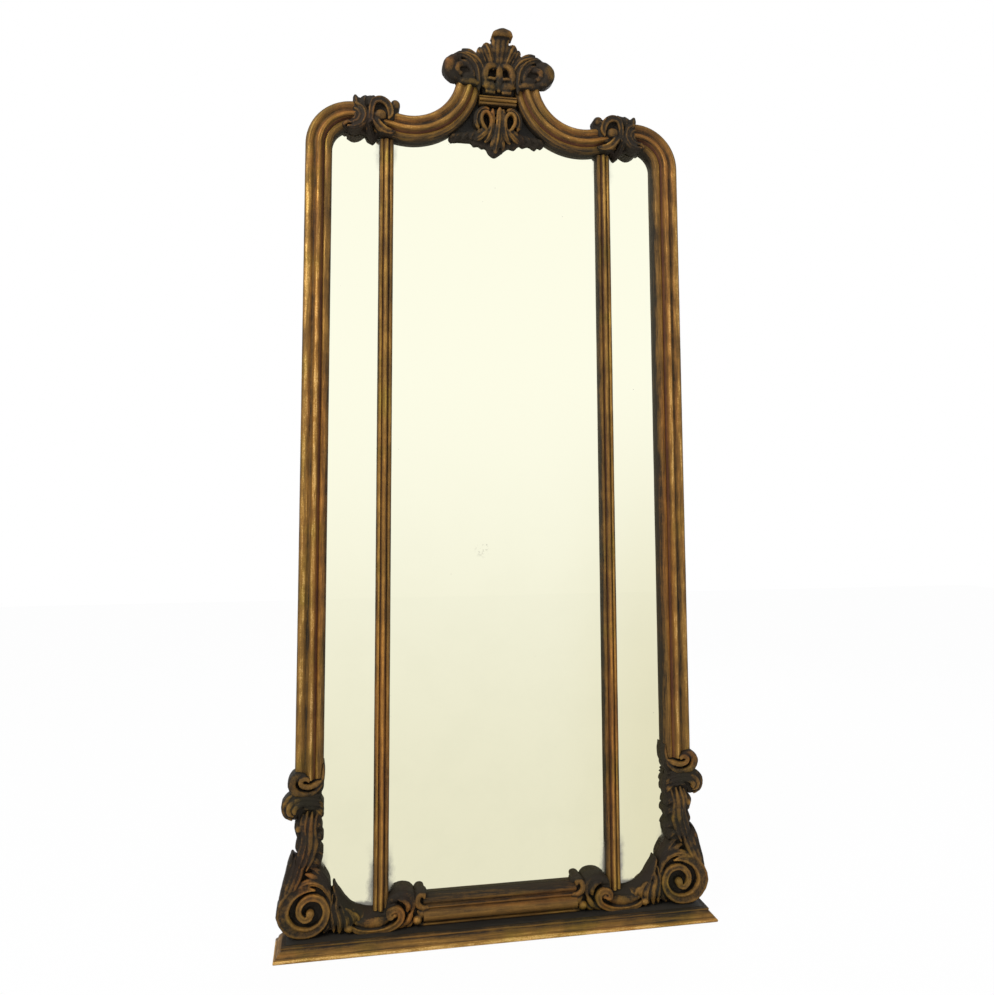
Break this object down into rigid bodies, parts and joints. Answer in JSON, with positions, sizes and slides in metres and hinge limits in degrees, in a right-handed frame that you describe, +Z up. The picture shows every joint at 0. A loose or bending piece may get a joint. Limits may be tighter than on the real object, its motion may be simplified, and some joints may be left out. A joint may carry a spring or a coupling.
{
  "type": "trumeau mirror",
  "caption": "Tall trumeau mirror: a mirror divided by glazing bars in a gilt moulded frame with carved corners, scrolled crest and palmette, on a moulded plinth.",
  "frame": {"origin": "Centre of the plinth's underside, on the floor.", "axes": "X to the viewer's right across the mirror, Y to the back (the mirror faces -Y), Z up."},
  "size_m": [0.996, 0.103, 2.11],
  "materials": {
    "gilt_wood": "worn antique gilding over dark carved wood",
    "dark_wood": "near-black stained wood",
    "plain_wood": "bare aged softwood",
    "mirror_plate": "old silvered glass",
    "steel": "dull zinc plate"
  },
  "bodies": {
    "frame": {"left_stile": "gilt_wood", "left_shoulder": "gilt_wood", "left_scroll_rail": "gilt_wood", "left_hip_leaf": "gilt_wood", "left_crest_volute": "gilt_wood", "left_leaf_drop": "gilt_wood", "left_side_curl": "gilt_wood", "left_corner_volute": "gilt_wood", "left_corner_leaf": "gilt_wood", "left_base_scroll": "gilt_wood", "left_rail_ear": "gilt_wood", "left_glazing_bar": "gilt_wood", "left_plinth_return": "gilt_wood", "left_mirror_plate": "mirror_plate", "left_backboard": "plain_wood", "left_hanger_strap": "steel", "right_stile": "gilt_wood", "right_shoulder": "gilt_wood", "right_scroll_rail": "gilt_wood", "right_hip_leaf": "gilt_wood", "right_crest_volute": "gilt_wood", "right_leaf_drop": "gilt_wood", "right_side_curl": "gilt_wood", "right_corner_volute": "gilt_wood", "right_corner_leaf": "gilt_wood", "right_base_scroll": "gilt_wood", "right_rail_ear": "gilt_wood", "right_glazing_bar": "gilt_wood", "right_plinth_return": "gilt_wood", "right_mirror_plate": "mirror_plate", "right_backboard": "plain_wood", "right_hanger_strap": "steel", "bottom_rail": "gilt_wood", "crest_bar": "gilt_wood", "crest_palmette": "gilt_wood", "pendant_palmette": "gilt_wood", "plinth_nosing": "gilt_wood", "plinth_board": "dark_wood", "crest_ground": "dark_wood", "centre_mirror_plate": "mirror_plate", "centre_backboard": "plain_wood", "base_rail": "plain_wood", "crest_brace": "plain_wood", "upper_batten": "plain_wood", "middle_batten": "plain_wood", "lower_batten": "plain_wood", "hanger_screws": "steel", "batten_screws": "steel"},
    "left_ring": {"left_hanger_ring": "steel"},
    "right_ring": {"right_hanger_ring": "steel"}
  },
  "joints": [
    {"name": "left_ring_hinge", "type": "hinge", "parent": "frame", "child": "left_ring", "pos_m": [-0.33, 0.0473, 1.682], "axis": [1, 0, 0], "range_deg": [0, 170]},
    {"name": "right_ring_hinge", "type": "hinge", "parent": "frame", "child": "right_ring", "pos_m": [0.33, 0.0473, 1.682], "axis": [1, 0, 0], "range_deg": [0, 170]}
  ]
}
